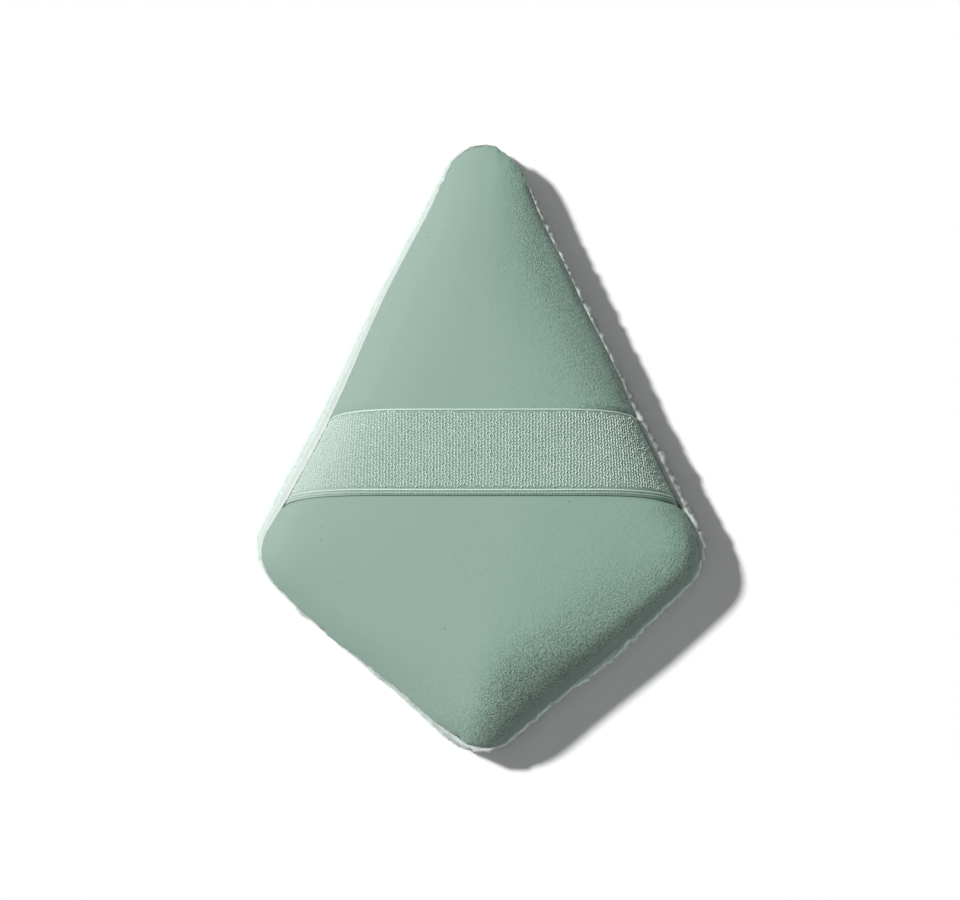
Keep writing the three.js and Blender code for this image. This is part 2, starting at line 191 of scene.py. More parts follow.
# How far the sewn outline runs inside its pattern
TRIM_KEYS = [
    (0, 37), (17, 50), (35, 45), (52, 22), (69, 36), (103, 50), (137, 60), (155, 48), (189, 30),
    (206, 40), (257, 34), (274, 22), (291, -8), (298, 15), (313.5, 45), (324, 0), (336, -3),
    (347, 10), (358, 3), (370, 0), (800, 0), (815, 10), (830, 30), (846, 70), (856, 95),
    (875, 80), (890, 65), (905, 30), (925, -10), (944, -15), (961, -5), (979, 27), (1000, 37),
]

# How far the dense pile stays inside the outline on the side that faces the light
LEFT_KEYS = [
    (335, 16), (370, 45), (380, 32), (420, 12), (435, 22), (448, 0), (490, 0), (510, 12),
    (535, 10), (562, -5), (590, -30), (605, -22), (630, -5), (648, 78), (662, 72), (675, 40),
    (683, 20), (700, 30), (740, 35), (760, 45), (790, 25), (810, 20), (825, 30),
]


def keyed(share, keys):
    at, values = np.array(keys).T
    return np.interp(share, at / 1000, values / 100)


def on_left(share):
    """1 on the side that faces the light, where the pile is smooth and soft, and 0 elsewhere."""
    return hump(share, 0.335, 0.36, 0.80, 0.825)


def in_shade(share):
    """1 on the lower right run, which lies in the shade, and 0 elsewhere."""
    return smooth(share, 0.83, 0.86) + 1 - smooth(share, 0.01, 0.03)


# The face's edge is a little ragged, and more so round the apex and on the lower left
RAGGED, RAGGED_STEP = 0.07, 0.0022
RAGGED_STRETCHES = ((0.29, 0.38, 1.2), (0.66, 0.82, 0.9))
_rng = np.random.default_rng(5)
_places = np.arange(0, 1, RAGGED_STEP)
_more = sum(((_places > low) & (_places < high)) * more for low, high, more in RAGGED_STRETCHES)
_waves = RAGGED * _rng.normal(0, 1, len(_places)) * (0.25 + _more)

# The pile's edge is torn into small points, smaller ones on the left, with a few larger tufts:
# where each is, how far out and how wide. Under the apex the edge stays hidden.
POINT, POINT_LESS, HIDDEN = 0.2, 0.14, 0.5
TUFTS = (
    (0.033, 0.5, 3), (0.093, 0.25, 4), (0.683, 0.3, 5), (0.745, 0.25, 4), (0.93, 0.25, 4),
    (0.972, 0.2, 4), (0.24, 0.2, 4),
)
_spots = np.linspace(0, 1, 801)
_points = _rng.normal(0, 1, len(_spots)) * (POINT - POINT_LESS * on_left(_spots))
_points -= keyed(_spots, TRIM_KEYS) + HIDDEN * hump(_spots, 0.295, 0.31, 0.345, 0.365)
for _at, _size, _wide in TUFTS:
    _near = np.arange(-_wide, _wide + 1)
    _points[int(_at * (len(_spots) - 1)) + _near] += _size * (1 - np.abs(_near) / (_wide + 1))
_points[-1] = _points[0]


def torn(share):
    """How far the pile's torn edge stands out of the pattern's outline."""
    return np.interp(share, _spots, _points)


# The direction along the upper right run, and where the run starts and ends on it
ALONG = np.array([UP[1], -UP[0]])
RUN_LOW, RUN_HIGH = ALONG @ (side - CENTRE), ALONG @ (apex - CENTRE)
ARC_SIDE, ARC_APEX = SIDE_R * (ua - la), APEX_R * (math.pi - 2 * ua)
ARC_TAIL = TAIL_R * (math.pi + 2 * la)
RUN_TAIL = np.linalg.norm(tail - side)
ROUND = 2 * (ARC_SIDE + RUN_LOW - RUN_HIGH + RUN_TAIL) + ARC_APEX + ARC_TAIL

# The band's ends press the face's edge in between these places along the run: how far at the
# right end's top and bottom and the left one's, and how softly
PRESS_FROM, PRESS_TO = -1.7, 12.5
PRESSES = ((0.1, 0.15), (0.1, 0.0))
PRESS_SOFT = 1.2


def overhang(share):
    """How far inside the pattern's outline the face's edge lies."""
    return keyed(share, OVERHANG_KEYS) + keyed(share, TRIM_KEYS)


# The same, evened out over so many spots, for the cloth further in, so that it has no crease
CALM_SPAN = 53
_calm = np.pad(overhang(_spots[:-1]), CALM_SPAN // 2, "wrap")
_calm = np.convolve(_calm, np.full(CALM_SPAN, 1 / CALM_SPAN), "valid")


def share_on_run(along, mirrored):
    """The share of the way round at a place along the upper right run, or its mirror image."""
    right = (ARC_SIDE + RUN_LOW - along) / ROUND
    left = (ARC_SIDE + RUN_LOW - RUN_HIGH + ARC_APEX + along - RUN_HIGH) / ROUND
    return np.where(mirrored, left, right)


def band_press(share):
    """How far the band presses the face's edge in."""
    out = np.zeros_like(np.asarray(share, float))
    for mirrored in (False, True):
        places = [float(share_on_run(along, mirrored)) for along in (PRESS_FROM, PRESS_TO)]
        ends = sorted(zip(places, PRESSES[mirrored]))
        (low, high), presses = zip(*ends)
        soft = PRESS_SOFT / ROUND
        press = np.interp(share, (low, high), presses)
        out += press * hump(share, low - soft, low + soft, high - soft, high + soft)
    return out


# How far in the edge's shift, its swings and its raggedness reach
WHOLE_BELT, SWING_BELT, RAGGED_BELT = 9, 2.5, 0.6


def edge_shift(share, reach):
    """How far a ring of the face moves out, so that its edge leaves the right width of pile."""
    calm = np.interp(share, _spots, np.append(_calm, _calm[0]))
    near = smooth(reach, FACE - SWING_BELT, FACE - 0.2)
    shift = OVERHANG - calm - (overhang(share) - calm) * near
    shift = shift * smooth(reach, FACE - WHOLE_BELT, FACE - 0.5)
    shift += np.interp(share, _places, _waves) * smooth(reach, FACE - RAGGED_BELT, FACE)
    return shift - band_press(share) * smooth(reach, FACE - SWING_BELT, FACE - 0.1)


def linked(name, data):
    obj = bpy.data.objects.new(name, data)
    scene.collection.objects.link(obj)
    return obj


def mesh_object(name, verts, faces):
    """A mesh object from points in mm and a list of face arrays, each with faces of one size."""
    mesh = bpy.data.meshes.new(name)
    verts = np.asarray(verts, float) * MM
    loops = np.concatenate([np.ravel(f) for f in faces])
    sizes = np.concatenate([np.full(len(f), len(f[0])) for f in faces])
    mesh.vertices.add(len(verts))
    mesh.vertices.foreach_set("co", verts.astype(np.float32).reshape(-1))
    mesh.loops.add(len(loops))
    mesh.loops.foreach_set("vertex_index", loops.astype(np.int32))
    mesh.polygons.add(len(sizes))
    mesh.polygons.foreach_set("loop_start", (np.cumsum(sizes) - sizes).astype(np.int32))
    mesh.polygons.foreach_set("loop_total", sizes.astype(np.int32))
    mesh.polygons.foreach_set("use_smooth", np.ones(len(sizes), bool))
    mesh.update(calc_edges=True)
    mesh.validate()
    return linked(name, mesh)


def vertex_values(obj, kind):
    """The places ("co", in metres) or directions ("normal") of a mesh's vertices."""
    values = np.zeros(len(obj.data.vertices) * 3, np.float32)
    obj.data.vertices.foreach_get(kind, values)
    return values.reshape(-1, 3)


def place_vertices(obj, verts):
    obj.data.vertices.foreach_set("co", verts.reshape(-1))
    obj.data.update()


def float_attribute(obj, name, values):
    data = obj.data.attributes.new(name, "FLOAT", "POINT").data
    data.foreach_set("value", np.asarray(values, np.float32))


def fractal(points, scale, octaves=2, seed=0.0):
    """Smooth noise of about -1 to 1 at points in mm, with features about `scale` mm wide."""
    shift = Vector((seed, seed * 1.7, seed * 0.6))
    values = np.zeros(len(points))
    for k in range(octaves):
        f = 2.0**k / scale
        values += np.array([noise.noise(Vector(p) * f + shift) for p in points]) / 2.0**k
    return values


def resample(line, step):
    """Points every `step` mm or so on a line in 2-D, their outward normals and arc lengths."""
    line = np.asarray(line, float)
    gaps = np.hypot(*np.diff(line, axis=0).T)
    at = np.concatenate([[0], np.cumsum(gaps)])
    where = np.linspace(0, at[-1], max(2, round(at[-1] / step) + 1))
    points = np.column_stack([np.interp(where, at, line[:, k]) for k in (0, 1)])
    ahead = np.gradient(points, axis=0)
    ahead /= np.hypot(*ahead.T)[:, None]
    return points, np.column_stack([-ahead[:, 1], ahead[:, 0]]), where


def tube_faces(stations, sides, first):
    i = np.arange(stations - 1)[:, None] * sides
    k = np.arange(sides)[None]
    nxt = (k + 1) % sides
    quads = np.stack([i + k, i + sides + k, i + sides + nxt, i + nxt], axis=-1).reshape(-1, 4)
    return quads + first


def lathe(name, samples, rings, top, bottom):
    """A closed body from rings of points, the top one first, and the heights of its two poles."""
    count, n = len(samples.share), len(rings)
    verts = np.concatenate([[(0, CY, top)], *rings, [(0, CY, bottom)]])
    i = np.arange(count)
    nxt = (i + 1) % count
    last = 1 + (n - 1) * count
    end = len(verts) - 1
    caps = np.concatenate([
        np.column_stack([np.zeros(count, int), 1 + i, 1 + nxt]),
        np.column_stack([np.full(count, end), last + nxt, last + i]),
    ])
    return mesh_object(name, verts, [tube_faces(n, count, 1), caps])


# The grid of the map of depths, how often it is evened out, how soft it is, and how much
# softer in the narrow half
GRID, EVENED = 0.5, 2500
GRID_X, GRID_Y = np.arange(-36, 36.1, GRID), np.arange(-48, 48.1, GRID)
DEPTH_SOFT, SOFTER = 2.0, 3.0
# How far left of the middle the narrow half's crest lies
CREST_LEFT = 1.2


def soft_depths():
    """How deep places of the grid lie in the face, with no ridges, as a stuffed cover has none."""
    samples = outline(0.5)
    x, y = np.meshgrid(GRID_X, GRID_Y)
    depth = np.full(x.shape, 1e9)
    for p, n in zip(ring(samples, FACE), samples.out):
        depth = np.minimum(depth, (p[0] - x) * n[0] + (p[1] - y) * n[1])
    soft = DEPTH_SOFT + SOFTER * smooth(y, -8, 14)
    v = np.exp(-depth / soft)
    free = (depth > GRID * 0.75)[1:-1, 1:-1]
    shares = 4 + (GRID / soft[1:-1, 1:-1]) ** 2
    for _ in range(EVENED):
        around = v[1:-1, :-2] + v[1:-1, 2:] + v[:-2, 1:-1] + v[2:, 1:-1]
        v[1:-1, 1:-1] = np.where(free, around / shares, v[1:-1, 1:-1])
    soft_depth = -soft * np.log(v)
    lefts = CREST_LEFT * hump(GRID_Y, 6, 28, 31, 41)
    for row, inside, left_by in zip(soft_depth, depth > 0, lefts):
        if inside.sum() > 4:
            half = np.abs(GRID_X[inside]).max()
            moved = GRID_X + left_by * np.clip(1 - (GRID_X / half) ** 2, 0, 1)
            row[:] = np.interp(moved, GRID_X, row.copy())
    return soft_depth


SOFT_DEPTHS = soft_depths()

# The crown's slope in degrees at depths inside its edge: for the narrow half, the wide one,
# whose shoulder is fuller, the left corner, which fills less, the right one, the tail, which
# slopes for longer, and the flatter apex
SLOPE_AT = (0, 0.5, 1, 2, 3, 4, 5, 7, 10, 12, 15, 18, 21, 24, 31)
SLOPES = (
    (64, 60, 56, 49.5, 42.5, 35.4, 30, 22.8, 13.6, 9, 5.6, 3, 1.6, 0.5, 0),
    (68, 65, 61, 55, 46, 36, 28.5, 18.8, 9.4, 5.6, 3.5, 2.2, 1.3, 0.4, 0),
    (68, 65, 60, 48, 36, 28, 22, 15, 9, 6, 4.2, 2.7, 1.6, 0.5, 0),
    (73, 69, 60, 42, 31.8, 25.5, 21, 15, 9, 4.8, 1.8, 0.5, 0, 0, 0),
    (67, 64, 59, 51, 44, 38, 33, 25.5, 18, 13.5, 9, 6, 3.5, 1.5, 0),
    (56, 52, 48, 42, 37, 32, 28, 22, 13, 8.5, 5, 3, 1.6, 0.5, 0),
)
DEPTH_STEP = 0.01
DEPTHS = np.linspace(0, 30, 3001)
# The slopes are evened out over so many steps each way
BELL = 150
# The cloth's round rim at the seam: how high and how wide
RIM_RISE, RIM_WAY = 0.6, 0.8


def rise(slopes):
    """The crown's height over the seam at each of DEPTHS."""
    margin = BELL * DEPTH_STEP
    fine = np.linspace(-margin, DEPTHS[-1] + margin, len(DEPTHS) + 2 * BELL)
    angles = np.convolve(np.interp(fine, SLOPE_AT, slopes), bell(BELL, BELL / 3), "valid")
    rim = RIM_RISE * np.sqrt(1 - (1 - np.minimum(DEPTHS / RIM_WAY, 1)) ** 2)
    steps = np.tan(np.radians(angles[:-1])) * np.diff(DEPTHS)
    return rim + np.concatenate([[0], np.cumsum(steps)])


NARROW, WIDE, LEFT, RIGHT, TAIL, APEX = (rise(slopes) for slopes in SLOPES)
_narrow, _wide = (
    RISE / np.interp(SOFT_DEPTHS.max(), DEPTHS, table) for table in (NARROW, WIDE)
)
NARROW, APEX = NARROW * _narrow, APEX * _narrow
WIDE, LEFT, RIGHT, TAIL = WIDE * _wide, LEFT * _wide, RIGHT * _wide, TAIL * _wide


def in_corner(spot):
    """1 in the middle of a side corner, fading towards the runs beside it and inwards."""
    inward = WIDTH / 2 - np.abs(spot[..., 0])
    aside = np.abs(spot[..., 1] - side[1]) / (np.maximum(inward, 0) + 5)
    return (1 - smooth(aside, 0.3, 1.0)) * (1 - smooth(inward, 6, 30))


def in_tail(spot):
    return 1 - smooth(np.hypot(spot[..., 0], spot[..., 1] + LENGTH / 2), 7, 26)


def in_apex(spot):
    return 1 - smooth(np.hypot(spot[..., 0], spot[..., 1] - LENGTH / 2), 4, 17)


def spline(a):
    """The weights of four grid lines for a place at share a between the middle two."""
    second, third = 3 * a**3 - 6 * a**2 + 4, -3 * a**3 + 3 * a**2 + 3 * a + 1
    return (1 - a) ** 3 / 6, second / 6, third / 6, a**3 / 6


def crown(spot):
    """The height of the face at points in plan."""
    u = np.clip((spot[..., 0] - GRID_X[0]) / GRID, 1, len(GRID_X) - 3.001)
    v = np.clip((spot[..., 1] - GRID_Y[0]) / GRID, 1, len(GRID_Y) - 3.001)
    i, j = u.astype(int), v.astype(int)
    depth = 0
    for dj, wj in enumerate(spline(v - j)):
        for di, wi in enumerate(spline(u - i)):
            depth = depth + SOFT_DEPTHS[j + dj - 1, i + di - 1] * wj * wi
    wide = 1 - smooth(spot[..., 1], -12, 8)
    z = np.interp(depth, DEPTHS, NARROW) * (1 - wide) + np.interp(depth, DEPTHS, WIDE) * wide
    right = in_corner(spot) * (spot[..., 0] > 0)
    places = (in_corner(spot) - right, right, in_tail(spot), in_apex(spot))
    for place, table in zip(places, (LEFT, RIGHT, TAIL, APEX)):
        z = z * (1 - place) + np.interp(depth, DEPTHS, table) * place
    return SEAM_Z + z


def under_crown(samples, inset, depth, low):
    """A ring `inset` from the face's edge and `depth` under the crown, but not below `low`."""
    spot = ring(samples, FACE - inset)
    return at_height(spot, np.maximum(crown(spot) - depth, low))


def face_profile(step):
    """The face's section across the middle of a straight run, from the puff's middle out."""
    depths = np.concatenate([np.linspace(FACE, 1, 300)[:-1], np.linspace(1, 0, 100) ** 2])
    heights = SEAM_Z + np.interp(depths, DEPTHS, NARROW)
    return resample(np.column_stack([FACE - depths, heights]), step)


BITE = 0.4


def bite(c, at):
    """How deep the stretched band pulls into the foam, at a place across it and along its path."""
    across = 1 - smooth(np.abs(c), BAND_W / 2 - 0.3, BAND_W / 2 + 1.1)
    return BITE * smooth(at, SEAM_AT - 15, SEAM_AT - 4) * across


def bite_on_face(spot, at):
    """The same at points of the face."""
    along = (np.abs(spot[..., 0]) * ALONG[0]) + (spot[..., 1] - CY) * ALONG[1]
    c = UP[1] * at - UP[0] * along - (BAND_Y - CY)
    return bite(c, at)


# Soft hollows in the foam and a faint unevenness of the cloth: how deep and how wide
HOLLOW, HOLLOW_WIDE = 0.05, 13
UNEVEN, UNEVEN_WIDE = 0.012, 1.6
# The direction away from the light, in plan
AWAY = (0.88, -0.48)


def face_cover():
    samples = outline(0.3)
    n, share = samples.out, samples.share
    profile, out, where = face_profile(0.3)
    rings = []
    for (reach, z), (nr, nz), at in zip(profile[1:], out[1:], where[1:]):
        spot = ring(samples, reach)
        lift = -bite_on_face(spot, at)
        points = at_height(spot + n * edge_shift(share, reach)[:, None], crown(spot))
        points += np.column_stack([n * nr * lift[:, None], nz * lift])
        # The unevenness fades at the seam
        lift = HOLLOW * fractal(points, HOLLOW_WIDE, seed=3.0)
        lift += UNEVEN * fractal(points, UNEVEN_WIDE, seed=9.0)
        lift *= smooth(z, SEAM_Z + 0.2, SEAM_Z + 2.5)
        points += np.column_stack([n * nr * lift[:, None], nz * lift])
        rings.append(points)
    # The edge, the allowance turned in under it, and the inside
    edge = ring(samples, FACE) + n * edge_shift(share, FACE)[:, None]
    rings += [at_height(edge - n * inset, SEAM_Z + z) for inset, z in ((0.05, 0.08), (0.2, 0))]
    rings += levels(samples, [(FACE - ALLOWANCE, SEAM_Z + z) for z in (0, CLOTH)])
    insets = (CLOTH, 2, 4, 7, 11, 16, 21)
    rings += [under_crown(samples, inset, UNDER_FACE, SEAM_Z + CLOTH) for inset in insets]
    top = crown(CENTRE)
    obj = lathe("face_suede", samples, rings, top, top - UNDER_FACE)
    store_light_facing(obj)
    return obj


def store_light_facing(obj):
    """Stores how far each spot faces away from the light, for the painted light and shade of its
    colour, and how its grain shows.
    """
    normals, spots = vertex_values(obj, "normal"), vertex_values(obj, "co") / MM
    faces_away = normals[:, :2] @ np.array(AWAY) * 0.5 + 0.5
    slope = np.hypot(normals[:, 0], normals[:, 1])
    # The painted shade is deeper on the tail's steep rim, and lighter at the apex and in the right
    # corner
    lean = 0.2 * in_tail(spots) * smooth(slope, 0.45, 0.8) * smooth(faces_away, 0.56, 0.64)
    lean += 0.045 * in_apex(spots) * (1 - smooth(faces_away, 0.5, 0.56))
    lean -= 0.035 * in_corner(spots) * smooth(faces_away, 0.72, 0.8)
    float_attribute(obj, "faces_away", faces_away + lean)
    # The grain shows more round the tail and less in the side corners
    more = np.clip(0.2 * in_tail(spots) * slope, 0, np.maximum(0.8 - faces_away, 0))
    float_attribute(obj, "grit", faces_away + more - 0.03 * in_corner(spots))


# The plush back. Its body is the dense inner part of the pile, and single fibres stand out of
# it. The heights of its top, its rim, the rim on the left, its widest place and its base, then
# its foot's radius and the fibres' reach.
SEAM_UNDER = 6.95
PILE_RIM, LEFT_RIM = 7.35, 7.25
PILE_WIDEST, BASE_Z = 4.3, 0.55
FOOT, FIBRE_OUT = 3.0, 0.16
# Heights inside: the hollow's bottom, the shelf, and the turned-in cloth's two sides
HOLLOW_Z, SHELF_Z, TURNED_Z, GROUND_Z = 3.9, 6.05, 6.83, 6.84


def plush_rows():
    """Rows from the face's edge round to the base: share of the way out or None, reach, z."""
    rows = [(0.0, None, SEAM_UNDER + step) for step in (0.0, 0.3, 0.6)]
    rows.append((0.01, None, PILE_RIM))
    for a in np.linspace(0, math.pi / 2, 30)[1:]:
        z = PILE_WIDEST + (PILE_RIM - PILE_WIDEST) * math.cos(a) ** 0.85
        rows.append((0.01 + 0.99 * math.sin(a) ** 0.35, None, z))
    inner = PAD - FIBRE_OUT - FOOT
    for a in np.radians(np.linspace(0, 90, 20)[1:]):
        z = PILE_WIDEST - (PILE_WIDEST - BASE_Z) * math.sin(a)
        rows.append((None, inner + FOOT * math.cos(a), z))
    while inner > 1.5:
        inner -= 0.55
        rows.append((None, inner, BASE_Z))
    return rows


def under_rim(z):
    """1 on the pile's side under its rim, and 0 on the rim."""
    return 1 - smooth(z, 4.4, 5.8)


def plush_ring(samples, u, reach, z):
    n, share = samples.out, samples.share
    left = on_left(share)
    # Away from the light only the rim is torn, and the side under it stands back
    trim = keyed(share, TRIM_KEYS)
    low = under_rim(z) * (1 - left)
    out = (torn(share) + trim) * (1 - 0.85 * low) - trim - 0.3 * low
    out -= (keyed(share, LEFT_KEYS) - FIBRE_OUT) * left
    z = np.full(len(n), z)
    if u is None:
        spot = ring(samples, reach) + n * (out * smooth(z, 1.5, PILE_WIDEST))[:, None]
    else:
        edge = overhang(share) + band_press(share) + 0.12
        spot = ring(samples, PAD) - n * (edge * (1 - u) + (FIBRE_OUT - out) * u)[:, None]
        z += (LEFT_RIM - PILE_RIM) * left * smooth(z, PILE_WIDEST, PILE_RIM)
    return at_height(spot, z)


def plush_body():
    """The pile body, and the number of its first vertex on the outside."""
    samples = outline(0.4)
    count = len(samples.share)
    inside = (
        (4.0, HOLLOW_Z), (12.0, HOLLOW_Z), (FACE - 4, HOLLOW_Z), (FACE - 2.4, 4.3),
        (FACE - 1.6, 5.2), (FACE - 1.3, 6.0), (FACE - ALLOWANCE, SHELF_Z),
        (FACE - ALLOWANCE, TURNED_Z), (FACE - 1.0, GROUND_Z),
    )
    rows = plush_rows()
    rings = levels(samples, inside) + [plush_ring(samples, *row) for row in rows]
    obj = lathe("plush_back", samples, rings, HOLLOW_Z, BASE_Z)
    # Tufts lift the outside along its normals, less on the rim and on the upper left side
    verts, normals = vertex_values(obj, "co"), vertex_values(obj, "normal")
    first = 1 + len(inside) * count
    outer = verts[first:] / MM
    tuft = 0.2 * fractal(outer, 1.0, seed=5.0) + 0.09 * fractal(outer, 2.6, 1, 8.0)
    left = np.append(np.tile(on_left(samples.share), len(rows)), 0.5)
    rim = np.repeat([0.0 if u is None else 1 - u for u, _, _ in rows], count)
    tuft *= 1 - 0.8 * smooth(np.append(rim, 0.0), 0.1, 1.0)
    tuft *= 1 - 0.75 * left * smooth(outer[:, 2], 3.5, 6.5)
    tuft *= 1 + 0.6 * under_rim(outer[:, 2]) * (1 - left)
    verts[first:] += normals[first:] * (tuft * MM)[:, None]
    verts[first:, 2] = np.maximum(verts[first:, 2], 0.2 * MM)
    place_vertices(obj, verts)
    # Painted light: the pile on the lower right run, which lies in the shade, is coloured paler
    # and mintier
    shaded = np.append(np.tile(in_shade(samples.share), len(rows)), 0.5)
    float_attribute(obj, "lee", np.concatenate([np.zeros(first), shaded]))
    return obj, first


# The foam's bottom, and the underside and top of its groove for the allowances
FOAM_LOW, GROOVE_LOW = 4.2, 5.6
GROOVE_TOP = SEAM_Z + CLOTH + 0.44
# The lip under the groove: how far inside the face's edge, and its rounding
LIP, LIP_WIDE, LIP_HIGH = 1.5, 1.8, 1.4


def foam_body():
    samples = outline(1.2)
    insets = (24, 20, 16, 13, 10, 8, 6, 5, 4, 3.2, 2.6, 2.0, 1.5, 1.15)
    rings = [under_crown(samples, inset, UNDER_FOAM, GROOVE_TOP) for inset in insets]
    rows = [(FACE - ALLOWANCE - 0.3, z) for z in (GROOVE_TOP, GROOVE_LOW)]
    for a in np.radians((0, 20, 40, 60, 80, 90)):
        reach = FACE - LIP - LIP_WIDE + LIP_WIDE * math.cos(a)
        rows.append((reach, GROOVE_LOW - LIP_HIGH * math.sin(a)))
    rings += levels(samples, rows + [(reach, FOAM_LOW) for reach in (20, 14, 8, 3)])
    return lathe("foam_sponge", samples, rings, crown(CENTRE) - UNDER_FOAM, FOAM_LOW)


def hairs(name, points, radii, tones):
    """Closed three-sided hairs in one mesh, and the slot of each face.

    points runs from the roots to the tips, and radii has one less. tones are the hairs' slots.
    """
    way = unit(points[1] - points[0])
    helper = np.where(np.abs(way[:, 2:3]) < 0.8, [[0.0, 0.0, 1.0]], [[1.0, 0.0, 0.0]])
    u = unit(np.cross(way, helper))
    v = np.cross(way, u)
    corners = [(math.cos(a), math.sin(a)) for a in (0.0, 2 * math.pi / 3, 4 * math.pi / 3)]
    rows = [p + r[:, None] * (c * u + s * v) for p, r in zip(points, radii) for c, s in corners]
    verts = np.stack([*rows, points[-1]], axis=1)
    tip = verts.shape[1] - 1
    base = np.arange(len(way))[:, None] * (tip + 1)
    last = tip - 3
    tris = [(last + a, last + b, tip) for a, b in ((0, 1), (1, 2), (2, 0))] + [(2, 1, 0)]
    faces = [np.concatenate([base + np.array(t) for t in tris])]
    if len(radii) > 1:
        quads = ((0, 1, 4, 3), (1, 2, 5, 4), (2, 0, 3, 5))
        faces.insert(0, np.concatenate([base + np.array(q) for q in quads]))
    obj = mesh_object(name, verts.reshape(-1, 3), faces)
    return obj, np.tile(tones, 3 * len(radii) + 1).astype(np.int32)


def clumped(tips, roots, amount, spacing, rng):
    """Tips drawn towards those of the nearest clump leader."""
    count = len(tips)
    leaders = rng.choice(count, max(1, int(count / spacing)), replace=False)
    tree = kdtree.KDTree(len(leaders))
    for k, leader in enumerate(leaders):
        tree.insert(Vector(roots[leader]), k)
    tree.balance()
    nearest = np.array([leaders[tree.find(Vector(p))[1]] for p in roots])
    return tips + (tips[nearest] - tips) * amount[:, None]


def scattered(obj, first, count, rng, low, high):
    """Random roots and normals on a body from vertex `first` on, between two heights."""
    mesh = obj.data
    mesh.calc_loop_triangles()
    tri = np.zeros(len(mesh.loop_triangles) * 3, np.int32)
    mesh.loop_triangles.foreach_get("vertices", tri)
    tri = tri.reshape(-1, 3)
    verts = vertex_values(obj, "co").astype(float) / MM
    normals = vertex_values(obj, "normal").astype(float)
    middle = verts[tri].mean(1)
    tri = tri[(tri.min(1) >= first) & (middle[:, 2] > low) & (middle[:, 2] < high)]
    a, b, c = (verts[tri[:, k]] for k in range(3))
    area = np.linalg.norm(np.cross(b - a, c - a), axis=1)
    pick = tri[rng.choice(len(tri), count, p=area / area.sum())]
    w = rng.random((count, 2))
    w = np.where((w.sum(1) > 1)[:, None], 1 - w, w)
    w = np.column_stack([1 - w.sum(1), w])
    roots, normal = ((values[pick] * w[..., None]).sum(1) for values in (verts, normals))
    return roots, unit(normal)


def side_fibres(name, body, first, count, seed):
    rng = np.random.default_rng(seed)
    roots, normal = scattered(body, first, count, rng, 0.9, 20)
    samples = outline(1.5)
    edge = ring(samples, PAD)
    gaps = (roots[:, :1] - edge[:, 0]) ** 2 + (roots[:, 1:2] - edge[:, 1]) ** 2
    nearest = np.argmin(gaps, axis=1)
    share = samples.share[nearest]
    level_out = at_height(samples.out[nearest], 0.0)
    left = on_left(share)
    tangent = np.column_stack([-level_out[:, 1], level_out[:, 0], np.zeros(count)])
    # The fibres lean sideways in drifts, and those of the rim lie outwards, away from the seam
    comb = tangent * fractal(roots, 4.0, 1, 2.0)[:, None] * 0.7
    near = smooth(normal[:, 2], 0.2, 0.9)[:, None]
    way = normal * (1 - 0.85 * near) + level_out * 0.85 * near + comb
    way = unit(way + rng.normal(0, 0.3, (count, 3)) * [1, 1, 0.6])
    # They are longer on the left, and on the other sides below the rim
    length = rng.uniform(0.14, 0.36, count) * (0.6 + 0.4 * left)
    length += rng.uniform(0, 0.36, count) * left * (1 - near[:, 0])
    length *= 1 + 0.5 * fractal(roots, 1.1, seed=4.0) * (1 - 0.6 * left)
    length *= 1 + 1.5 * under_rim(roots[:, 2]) * (1 - left)
    tips = roots + way * np.maximum(length, 0.12)[:, None]
    tips = clumped(tips, roots, rng.uniform(0.1, 0.5, count) * (1 - 0.7 * left), 14, rng)
    tips[:, 2] = np.maximum(tips[:, 2], 0.03)
    # Painted light: the fibres in the shade, and those on the lit left that stand out sideways,
    # take the palest tones
    painted_paler = np.round(2 * np.maximum(in_shade(share), left * (1 - near[:, 0])))
    tone = np.clip(rng.integers(0, 2, count) + painted_paler, 0, 3)
    thick = rng.uniform(0.035, 0.055, count) * (1 - 0.2 * left)
    return hairs(name, (roots - normal * 0.1, tips), (thick,), tone)


def base_fibres(name, body, first, count, seed):
    """Fibres of the underside, pressed down by the weight that rests on them."""
    rng = np.random.default_rng(seed)
    roots, _ = scattered(body, first, count, rng, 0, 1.3)
    swirl = fractal(roots, 9.0, 1, 7.0) * math.pi * 1.6
    comb = np.column_stack([np.cos(swirl), np.sin(swirl)]) + rng.normal(0, 0.45, (count, 2))
    length = rng.uniform(0.9, 1.5, count)[:, None]
    p0 = roots + np.array([0, 0, 0.12])
    p1 = roots + np.column_stack([comb * (0.22 * length), rng.uniform(-0.42, -0.3, count)])
    p2 = p1 + np.column_stack([comb * (0.5 * length), rng.uniform(-0.18, 0.05, count)])
    p2 = clumped(p2, roots, rng.uniform(0.2, 0.65, count), 8, rng)
    p1[:, 2] = np.maximum(p1[:, 2], 0.09)
    p2[:, 2] = np.clip(p2[:, 2], 0.03, roots[:, 2])
    thick = rng.uniform(0.06, 0.09, count)
    return hairs(name, (p0, p1, p2), (thick, thick * 0.75), rng.integers(0, 4, count))


# The band's path over the face, round its edge and into the seam, by its length
TURN_R, PATH_STEP = 0.3, 0.05
_line = face_profile(PATH_STEP)[0]
_turn = [
    (FACE - TURN_R + TURN_R * math.cos(a), SEAM_Z - TURN_R * math.sin(a))
    for a in np.linspace(0, math.pi / 2, 8)[1:]
]
_held = (FACE - TURN_R - BAND_TAIL, SEAM_Z - TURN_R)
PATH, PATH_OUT, PATH_AT = resample(np.concatenate([_line, _turn, [_held]]), PATH_STEP)
SEAM_AT = float(np.hypot(*np.diff(_line, axis=0).T).sum())


